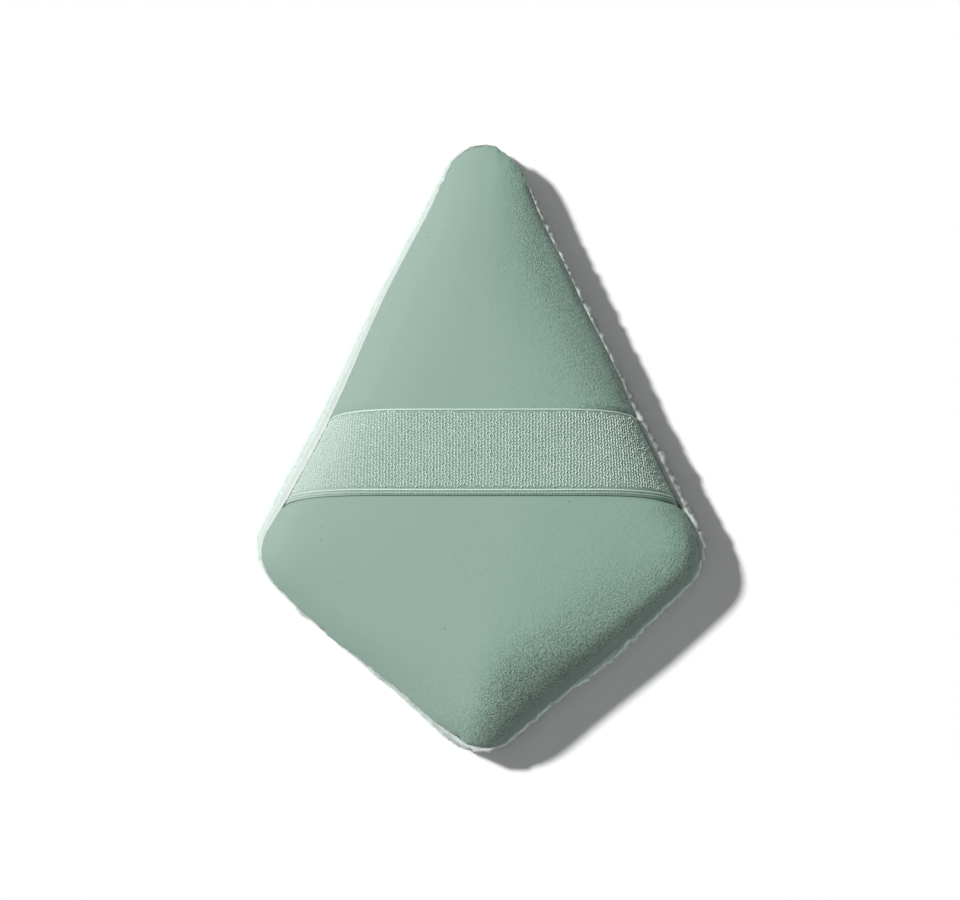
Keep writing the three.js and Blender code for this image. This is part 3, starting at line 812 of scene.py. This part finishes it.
def on_band(l, c, up):
    """Points `l` along the band from its middle, `c` across it and `up` over the face."""
    l, c, up = np.broadcast_arrays(*(np.asarray(values, float) for values in (l, c, up)))
    y = BAND_Y + c - CY
    at = UP[1] * y + UP[0] * np.abs(l)
    along = UP[1] * np.abs(l) - UP[0] * y
    reach, z, nr, nz = (np.interp(at, PATH_AT, row) for row in (*PATH.T, *PATH_OUT.T))
    # The tape is pressed thin where the seam holds it, and follows the face's edge there
    up = up * (1 - 0.6 * smooth(at, SEAM_AT - 2.5, SEAM_AT + 0.3)) - bite(c, at)
    over = reach + nr * up + edge_shift(share_on_run(along, l < 0), reach)

    def spot(r):
        x = (along * UP[1] + r * UP[0]) * np.where(l < 0, -1, 1)
        return np.stack([x, CY - along * UP[0] + r * UP[1]], axis=-1)

    z = np.where(at < SEAM_AT, crown(spot(reach)), z)
    return np.concatenate([spot(over), (z + nz * up)[..., None]], axis=-1)


def length_to(at, c):
    """How far along the band its path has run `at`, for each place across."""
    return (at - UP[1] * (BAND_Y + np.asarray(c, float) - CY)) / UP[0]


def band_end(c):
    return length_to(PATH_AT[-1], c)


def tubes_object(name, groups, sides):
    """One mesh of closed tubes. Each group is an array (stations, sides, 3) of points."""
    verts, quads, tris, first = [], [], [], 0
    k = np.arange(sides)
    nxt = (k + 1) % sides
    for g in groups:
        end = first + len(g) * sides
        last = end - sides
        verts += [g.reshape(-1, 3), [g[0].mean(0), g[-1].mean(0)]]
        quads.append(tube_faces(len(g), sides, first))
        tris.append(np.column_stack([np.full(sides, end), first + k, first + nxt]))
        tris.append(np.column_stack([np.full(sides, end + 1), last + nxt, last + k]))
        first = end + 2
    return mesh_object(name, np.concatenate(verts), [np.concatenate(quads), np.concatenate(tris)])


# The tape's edge, its field between the selvedges, and its columns' pitch and stitches' length
EDGE = BAND_W / 2
FIELD_TOP, FIELD_LOW = EDGE - 0.42, -EDGE + 1.27
WALE, STROKE = 0.464, 0.44


def tape_body():
    """The tape's ground: a thin closed sheet, a little thicker in its field than at its edges."""
    inner = np.linspace(-EDGE + 0.2, EDGE - 0.2, 84)
    across = np.concatenate([[-EDGE, -EDGE + 0.08], inner, [EDGE - 0.08, EDGE]])
    field = hump(across, FIELD_LOW - 0.2, FIELD_LOW, FIELD_TOP, FIELD_TOP + 0.2)
    round_off = 1 - np.clip((np.abs(across) - (EDGE - 0.2)) / 0.2, 0, 1) ** 2
    thin = 1 - 0.3 * (1 - smooth(across, -EDGE + 0.3, -EDGE + 0.8))
    top = BAND_GAP + TAPE_T * thin * (0.45 + 0.55 * round_off) * (0.82 + 0.18 * field)
    low = BAND_GAP + 0.12 * (1 - round_off)
    grid = np.linspace(-1, 1, 501)[:, None] * band_end(across)
    weft = 0.02 * np.sin(2 * math.pi * across / 0.33 + 1.5 * np.sin(grid * 1.3))
    upper, lower = on_band(grid, across, top + weft * field), on_band(grid, across, low)
    section = np.concatenate([lower, upper[:, ::-1]], axis=1)
    n, m = section.shape[:2]
    quads = tube_faces(n, m, 0)[:, [0, 3, 2, 1]]
    j = np.arange(m // 2 - 1)
    start = np.column_stack([j, m - 1 - j, m - 2 - j, j + 1])
    end = (n - 1) * m + start[:, ::-1]
    return mesh_object("band_tape", section.reshape(-1, 3), [quads, start, end])


def grains():
    """The raised warp: columns of short floats that slant left and right by turns."""
    rng = np.random.default_rng(41)
    limit = float(length_to(SEAM_AT, FIELD_LOW)) + 0.4
    columns = int(2 * limit / WALE)
    rows = int((FIELD_TOP - FIELD_LOW) / STROKE)
    l0 = np.repeat(-limit + (np.arange(columns) + 0.5) * 2 * limit / columns, rows)
    k = np.tile(np.arange(rows), columns)
    start = np.repeat(rng.uniform(-0.5, 0.5, columns), rows)
    c0 = FIELD_TOP - (k + 0.5 + start) * (FIELD_TOP - FIELD_LOW) / rows
    count = len(l0)
    way = np.where(k % 2 == 0, 1.0, -1.0) * np.where(rng.random(count) < 0.06, -1, 1)
    way *= np.repeat(np.where(rng.random(columns) < 0.5, 1, -1), rows)
    lean = way * np.radians(rng.normal(32, 8, count))
    drift = np.interp(c0, np.linspace(FIELD_LOW, FIELD_TOP, 30), rng.normal(0, 0.018, 30))
    l0 = l0 + drift + rng.normal(0, 0.015, count)
    keep = (c0 < FIELD_TOP - 0.08) & (c0 > FIELD_LOW + 0.05)
    keep &= np.abs(l0) < length_to(SEAM_AT, c0) + 0.6
    l0, c0, lean = l0[keep], c0[keep], lean[keep]
    count = len(l0)
    half = STROKE * rng.uniform(0.56, 0.78, count)
    wide = rng.uniform(0.066, 0.095, count)
    high = wide * rng.uniform(1.2, 2.0, count) * (1 - 0.3 * smooth(np.abs(l0), 24, 29))
    base = BAND_GAP + TAPE_T + rng.uniform(-0.02, 0.05, count)
    dl, dc = np.sin(lean), np.cos(lean)
    # Each float is a point, two rings and a point, its ends sunk into the tape
    sides, verts = 5, []
    for t in (-1.0, -0.45, 0.45, 1.0):
        swell = 1.0 if abs(t) < 1 else 0.0
        for s in range(sides if swell else 1):
            a = 2 * math.pi * (s + 0.5) / sides
            aside, lift = wide * math.cos(a) * swell, high * math.sin(a) * swell
            l, c = l0 + dl * half * t + dc * aside, c0 + dc * half * t - dl * aside
            verts.append(on_band(l, c, base + lift - 0.07 * t**2))
    verts = np.stack(verts, axis=1)
    tip = verts.shape[1] - 1
    first = np.arange(count)[:, None] * (tip + 1)
    quads, tris = [], []
    for s in range(sides):
        e = (s + 1) % sides
        near, far = (1 + s, 1 + e), (1 + sides + s, 1 + sides + e)
        quads.append(first + np.array([*near, *far[::-1]]))
        tris += [first + np.array([0, *near[::-1]]), first + np.array([tip, *far])]
    faces = [np.concatenate(quads), np.concatenate(tris)]
    return mesh_object("band_floats", verts.reshape(-1, 3), faces)


# The selvedges: smooth cords at both edges, and below a beaded one too, which lies lower. Each
# has its place across, radius, beading, bead pitch and height.
SMOOTH_CORDS = ((EDGE - 0.12, 0.13, 0.0, 0.52, 0.78), (-EDGE + 0.84, 0.14, 0.10, 0.52, 0.78))
BEADED_CORDS = ((-EDGE + 0.42, 0.14, 0.30, 0.46, 0.5),)


def cords(name, rows):
    rng = np.random.default_rng(7)
    sides, groups = 6, []
    for c0, radius, bead, pitch, height in rows:
        limit = float(length_to(SEAM_AT, c0)) + 0.8
        l = np.linspace(-limit, limit, int(2 * limit / 0.11))
        size = radius * (1 + bead * np.sin(2 * math.pi * l / pitch + rng.uniform(0, 6)))
        c = c0 + 0.012 * np.interp(l, np.linspace(-limit, limit, 60), rng.normal(0, 1, 60))
        up = BAND_GAP + TAPE_T * height + radius * 0.45
        lines = []
        for k in reversed(range(sides)):
            a = 2 * math.pi * (k + 0.5) / sides
            slant = 0.6 * bead * math.cos(a) * radius
            lines.append(on_band(l + slant, c + math.cos(a) * size, up + math.sin(a) * size))
        groups.append(np.stack(lines, axis=1))
    return tubes_object(name, groups, sides)


# Materials


def srgb(r, g, b):
    """A shader's colour, from values of 0 to 255."""
    shares = [v / 255 for v in (r, g, b)]
    linear = [v / 12.92 if v <= 0.04045 else ((v + 0.055) / 1.055) ** 2.4 for v in shares]
    return (*linear, 1.0)


def feed(node, inputs):
    """Gives a node's sockets values, or links from other nodes' sockets."""
    for key, value in inputs.items():
        socket = node.inputs[key.replace("_", " ") if isinstance(key, str) else key]
        if hasattr(value, "is_output"):
            node.id_data.links.new(value, socket)
        else:
            socket.default_value = value


class Nodes:
    """A material, and short ways to add nodes to it."""

    def __init__(self, name, roughness, sheen=0.0, sheen_rough=0.5, **more):
        self.material = bpy.data.materials.new(name)
        self.material.use_nodes = True
        self.tree = self.material.node_tree
        self.bsdf = self.tree.nodes["Principled BSDF"]
        self.surface(Roughness=roughness, Sheen_Weight=sheen, Sheen_Roughness=sheen_rough)
        self.surface(Specular_IOR_Level=0.25, **more)

    def surface(self, **inputs):
        feed(self.bsdf, inputs)

    def add(self, kind, **inputs):
        node = self.tree.nodes.new(kind)
        feed(node, inputs)
        return node

    def texture(self, kind, size_mm):
        coords = self.add("ShaderNodeTexCoord").outputs["Object"]
        return self.add(kind, Vector=coords, Scale=1000.0 / size_mm)

    def attribute(self, name):
        node = self.add("ShaderNodeAttribute")
        node.attribute_name = name
        return node.outputs["Fac"]

    def noise(self, size_mm, detail=2.0, rough=0.5, distortion=0.0):
        node = self.texture("ShaderNodeTexNoise", size_mm)
        feed(node, {"Detail": detail, "Roughness": rough, "Distortion": distortion})
        return node.outputs["Fac"]

    def ramp(self, fac, *stops):
        """A ramp of stops. Each is a place and its colour, as for srgb, or a grey of 0 to 1."""
        node = self.add("ShaderNodeValToRGB", Fac=fac)
        elements = node.color_ramp.elements
        while len(elements) < len(stops):
            elements.new(0.5)
        for element, (at, *colour) in zip(elements, stops):
            element.position = at
            element.color = srgb(*colour) if len(colour) == 3 else (*colour * 3, 1)
        return node.outputs["Color"]

    def math(self, op, a, b, clamp=False):
        node = self.add("ShaderNodeMath")
        node.operation = op
        node.use_clamp = clamp
        feed(node, {0: a, 1: b})
        return node.outputs["Value"]

    def scaled(self, a, by):
        return self.math("MULTIPLY", a, by)

    def mix(self, fac, a, b):
        node = self.add("ShaderNodeMix")
        node.data_type = "RGBA"
        feed(node, {0: fac, 6: a, 7: b})
        return node.outputs[2]

    def bump(self, height, distance_mm, strength=1.0, **normal):
        node = self.add("ShaderNodeBump", Height=height, Distance=distance_mm * MM, **normal)
        feed(node, {"Strength": strength})
        return node.outputs["Normal"]

    def banded(self, colour):
        """Painted light and shade on the yarns: greyer at the band's end in the light, and darker
        at its end in the shade.
        """
        lit = self.scaled(self.attribute("lit_end"), 0.5)
        shaded = self.scaled(self.attribute("shaded_end"), 0.27)
        return self.mix(shaded, self.mix(lit, colour, srgb(180, 191, 185)), srgb(84, 117, 101))


# Painted light and shade in the suede's colour, by how far it faces away from the light: greyer
# and a little darker where it faces the light, greener and lighter where it turns away, and darker
# again on the steepest slopes away from it
PAINTED_LIGHT_COLOURS = (
    (0.12, 138, 158, 148), (0.20, 139, 160, 149), (0.25, 138, 160, 149), (0.31, 139, 162, 151),
    (0.39, 141, 165, 153), (0.455, 143, 168, 156), (0.50, 146, 173, 160), (0.56, 145, 175, 161),
    (0.60, 145, 178, 163), (0.67, 147, 181, 165), (0.735, 151, 186, 169), (0.78, 148, 179, 164),
    (0.82, 142, 166, 155), (0.86, 128, 148, 139), (0.91, 114, 133, 125),
)
# How much its grain shows, in bump and in painted shade and highlight, which is most on slopes
# that face away from the light
GRAIN_SHOWS = (
    (0.46, 0.04), (0.54, 0.1), (0.59, 0.21), (0.64, 0.44), (0.70, 0.62), (0.76, 0.85),
    (0.81, 1), (0.86, 0.85), (0.895, 0.1),
)


def suede_material():
    m = Nodes("sage_suede", 0.9, 0.06, 0.6, Sheen_Tint=(0.8, 0.92, 0.86, 1.0))
    # Painted light and shade, by how far the cloth faces away from the light
    tone = m.ramp(m.attribute("faces_away"), *PAINTED_LIGHT_COLOURS)
    tone = m.mix(m.scaled(m.noise(7.0, 3.0, 0.6), 0.12), tone, srgb(138, 168, 152))
    raised = m.ramp(m.attribute("grit"), *GRAIN_SHOWS)
    grain = m.noise(0.28, 2.0, 0.65, 0.25)
    # The grain's colour is painted shade in its hollows and painted highlight on its tips
    grain_shade_and_highlight = m.ramp(grain, (0.34, 90, 121, 106), (0.5, 149, 177, 163), (0.66, 196, 216, 207))
    colour = m.mix(m.scaled(raised, 0.8), tone, grain_shade_and_highlight)
    # A few pinholes, one in many cells, dented and darkened with painted shade
    cells = m.texture("ShaderNodeTexVoronoi", 2.6)
    cells.voronoi_dimensions = "2D"
    chosen = m.add("ShaderNodeSeparateColor", Color=cells.outputs["Color"])
    rare = m.math("GREATER_THAN", chosen.outputs["Red"], 0.94)
    size = m.math("ADD", m.scaled(chosen.outputs["Green"], 0.03), 0.025)
    pit = m.math("MULTIPLY", rare, m.math("LESS_THAN", cells.outputs["Distance"], size))
    height = m.math("ADD", m.scaled(grain, 0.75), m.scaled(m.noise(0.13, 1.0), 0.25))
    height = m.math("SUBTRACT", height, m.scaled(pit, 1.2))
    soft = m.bump(m.noise(1.1), 0.03, 0.8)
    m.surface(
        Base_Color=m.mix(pit, colour, srgb(114, 142, 129)),
        Normal=m.bump(height, 1.0, raised, Normal=soft),
        Roughness=m.math("ADD", m.scaled(grain, 0.15), 0.78),
    )
    return m.material


def plush_material():
    m = Nodes("mint_plush", 0.95, 0.12, Sheen_Tint=(0.9, 1.0, 0.95, 1.0))
    lee = m.attribute("lee")
    # The pile in the shade is paler and mintier: painted light
    low = m.mix(lee, srgb(203, 211, 207), srgb(216, 238, 231))
    high = m.mix(lee, srgb(210, 218, 214), srgb(228, 247, 240))
    tuft = m.math("MULTIPLY", m.math("SUBTRACT", m.noise(0.8, 3.0, 0.6), 0.3), 2.5, True)
    m.surface(Base_Color=m.mix(tuft, low, high), Normal=m.bump(m.noise(0.2, 2.0, 0.6), 0.08, 0.9))
    return m.material


def pile_material(name, colour):
    m = Nodes(name, 0.9, 0.12, 0.4, Sheen_Tint=(0.9, 1.0, 0.95, 1.0))
    rough = m.math("ADD", m.scaled(m.noise(0.5, 1.0), 0.25), 0.75)
    m.surface(Base_Color=colour, Roughness=rough)
    return m.material


def foam_material():
    m = Nodes("sponge", 0.95)
    walls = m.texture("ShaderNodeTexVoronoi", 0.45).outputs["Distance"]
    # The cells' middles are darker: painted shade in the foam's pores
    colour = m.ramp(walls, (0.15, 214, 209, 192), (0.5, 243, 240, 228))
    m.surface(Base_Color=colour, Normal=m.bump(walls, 0.2, 0.8))
    return m.material


def tape_material():
    m = Nodes("elastic_ground", 0.8, 0.1)
    colour = m.ramp(m.noise(0.3, 2.0, 0.6), (0.3, 124, 150, 137), (0.7, 151, 178, 164))
    m.surface(Base_Color=m.banded(colour), Normal=m.bump(m.noise(0.12, 1.0), 0.05, 0.8))
    return m.material


def yarn_material(name, low, high):
    m = Nodes(name, 0.55, 0.35, 0.4, Sheen_Tint=(1.0, 1.0, 1.0, 1.0))
    ply = m.noise(0.22, 2.0, 0.6)
    m.surface(
        Base_Color=m.banded(m.ramp(ply, (0.3, *low), (0.7, *high))),
        Normal=m.bump(m.noise(0.07, 1.0), 0.02, 0.8),
        Roughness=m.math("ADD", m.scaled(ply, 0.3), 0.4),
    )
    return m.material


def thread_material():
    m = Nodes("sewing_thread", 0.6)
    ply = m.noise(0.15, 1.0)
    colour = m.ramp(ply, (0.35, 150, 176, 163), (0.65, 176, 200, 188))
    m.surface(Base_Color=colour, Normal=m.bump(ply, 0.02, 0.7))
    return m.material


# The sewn shape sways from its pattern: sideways shifts along it, and how far its tail is out
SWAY_AT = (-46, -35, -25, -16, -10, 0, 10, 20, 38, 46)
SWAY = (0.7, 0.68, 0.45, 0.18, 0.32, 0.42, 0.3, 0.12, 0.3, 0.35)
TAIL_OUT = 0.35


def swayed(obj):
    verts = vertex_values(obj, "co")
    y = verts[:, 1] / MM
    fine = np.linspace(-50, 50, 401)
    rough = np.pad(np.interp(fine, SWAY_AT, SWAY), 60, "edge")
    shift = np.convolve(rough, bell(60, 16), "valid")
    verts[:, 0] += np.interp(y, fine, shift) * MM
    verts[:, 1] -= TAIL_OUT * smooth(-y, 30, 44) * MM
    place_vertices(obj, verts)


face = face_cover()
back, skin = plush_body()
foam = foam_body()
for piece, material, node, slot, fill in (
    (face, suede_material(), "face_cover", "face_cloth", 0.85),
    (back, plush_material(), "back_cover", "plush", 0.9),
    (foam, foam_material(), "foam_core", "foam", 0.9),
):
    swayed(piece)
    piece.data.materials.append(material)
    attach(piece, "pad")
    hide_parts(node)

# Four pile tones, taken at random; the two palest also carry painted light on the side fibres in
# the shade and on the lit left edge
tones = [pile_material(name, srgb(*rgb)) for name, *rgb in (
    ("pile_shade", 205, 214, 210), ("pile_mint", 212, 222, 218),
    ("pile_pale", 226, 241, 235), ("pile_bright", 238, 250, 245),
)]
piles = [
    side_fibres("pile_side_a", back, skin, 45000, 11),
    side_fibres("pile_side_b", back, skin, 45000, 12),
    base_fibres("pile_base_a", back, skin, 20000, 21),
    base_fibres("pile_base_b", back, skin, 20000, 22),
]
for pile, slots in piles:
    for tone in tones:
        pile.data.materials.append(tone)
    pile.data.polygons.foreach_set("material_index", slots)
    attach(pile, "pad")

tape, wale = tape_body(), grains()
cord, bead = cords("band_cords", SMOOTH_CORDS), cords("band_beads", BEADED_CORDS)
tape.data.materials.append(tape_material())
for piece, name, low, high in (
    (wale, "elastic_yarn", (209, 230, 219), (236, 250, 243)),
    (cord, "selvedge_yarn", (191, 216, 203), (213, 233, 222)),
    # The beaded cord's yarn is darker: painted shade, as it lies lower than the smooth cords
    (bead, "beaded_yarn", (148, 175, 161), (178, 203, 190)),
):
    piece.data.materials.append(yarn_material(name, low, high))
for piece in (tape, wale, cord, bead):
    x = vertex_values(piece, "co")[:, 0] / MM
    # Painted light on the band's left end and painted shade on its right end
    float_attribute(piece, "lit_end", smooth(-x, 15, 24))
    float_attribute(piece, "shaded_end", smooth(x, 16, 25))
    swayed(piece)
    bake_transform(piece)
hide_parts("finger_band")

sewing = thread_material()
for name in (
    "seam_needle_thread", "seam_bobbin_thread", "closing_thread",
    "band_tack_left", "band_tack_right",
):
    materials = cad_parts[name].data.materials
    materials.clear()
    materials.append(sewing)

# The floor, light and camera
FLOOR = 20000.0
corners = [(x * FLOOR, y * FLOOR, 0) for x, y in ((-1, -1), (1, -1), (1, 1), (-1, 1))]
floor = mesh_object("floor", corners, [[(0, 1, 2, 3)]])
paper = Nodes("white_paper", 0.95, Base_Color=(0.98, 0.98, 0.98, 1.0))
paper.surface(Specular_IOR_Level=0.0)
floor.data.materials.append(paper.material)

world = bpy.data.worlds.new("studio")
scene.world = world
world.use_nodes = True
# It lights the puff softly, and looks white behind it
WORLD_LIGHT = 0.21
nodes = world.node_tree.nodes
path, strength = nodes.new("ShaderNodeLightPath"), nodes.new("ShaderNodeMath")
strength.operation = "MULTIPLY_ADD"
feed(strength, {0: path.outputs["Is Camera Ray"], 1: 1 - WORLD_LIGHT, 2: WORLD_LIGHT})
feed(nodes["Background"], {"Color": (1, 1, 1, 1), "Strength": strength.outputs["Value"]})

# The key light shines down to the lower right. Its angles and width are in degrees.
KEY_AZIMUTH, KEY_HEIGHT, KEY_WIDTH, KEY_ENERGY = 28.5, 47.5, 5.0, 3.45
key = bpy.data.lights.new("key", "SUN")
key.energy = KEY_ENERGY
key.angle = math.radians(KEY_WIDTH)
lamp = linked("key", key)
a, e = math.radians(KEY_AZIMUTH), math.radians(KEY_HEIGHT)
beam = Vector((math.cos(e) * math.cos(a), -math.cos(e) * math.sin(a), -math.sin(e)))
lamp.rotation_mode = "QUATERNION"
lamp.rotation_quaternion = beam.to_track_quat("-Z", "Y")

# The photograph's scale and at what height, its width, its middle, which is in pixels from the
# puff's, and the camera's height and sensor
PIXELS_PER_MM, SCALE_Z, PIXELS_WIDE = 6.77, 6.0, 960
MIDDLE_X, MIDDLE_Y = -1.0, -2.0
DISTANCE, SENSOR = 900.0, 36.0
camera = bpy.data.cameras.new("camera")
camera.sensor_width = SENSOR
camera.lens = PIXELS_PER_MM * (DISTANCE - SCALE_Z) * SENSOR / PIXELS_WIDE
camera.clip_start, camera.clip_end = 0.05, 10.0
eye = linked("camera", camera)
eye.location = (MIDDLE_X / PIXELS_PER_MM * MM, MIDDLE_Y / PIXELS_PER_MM * MM, DISTANCE * MM)
scene.camera = eye

scene.view_settings.view_transform = "Standard"
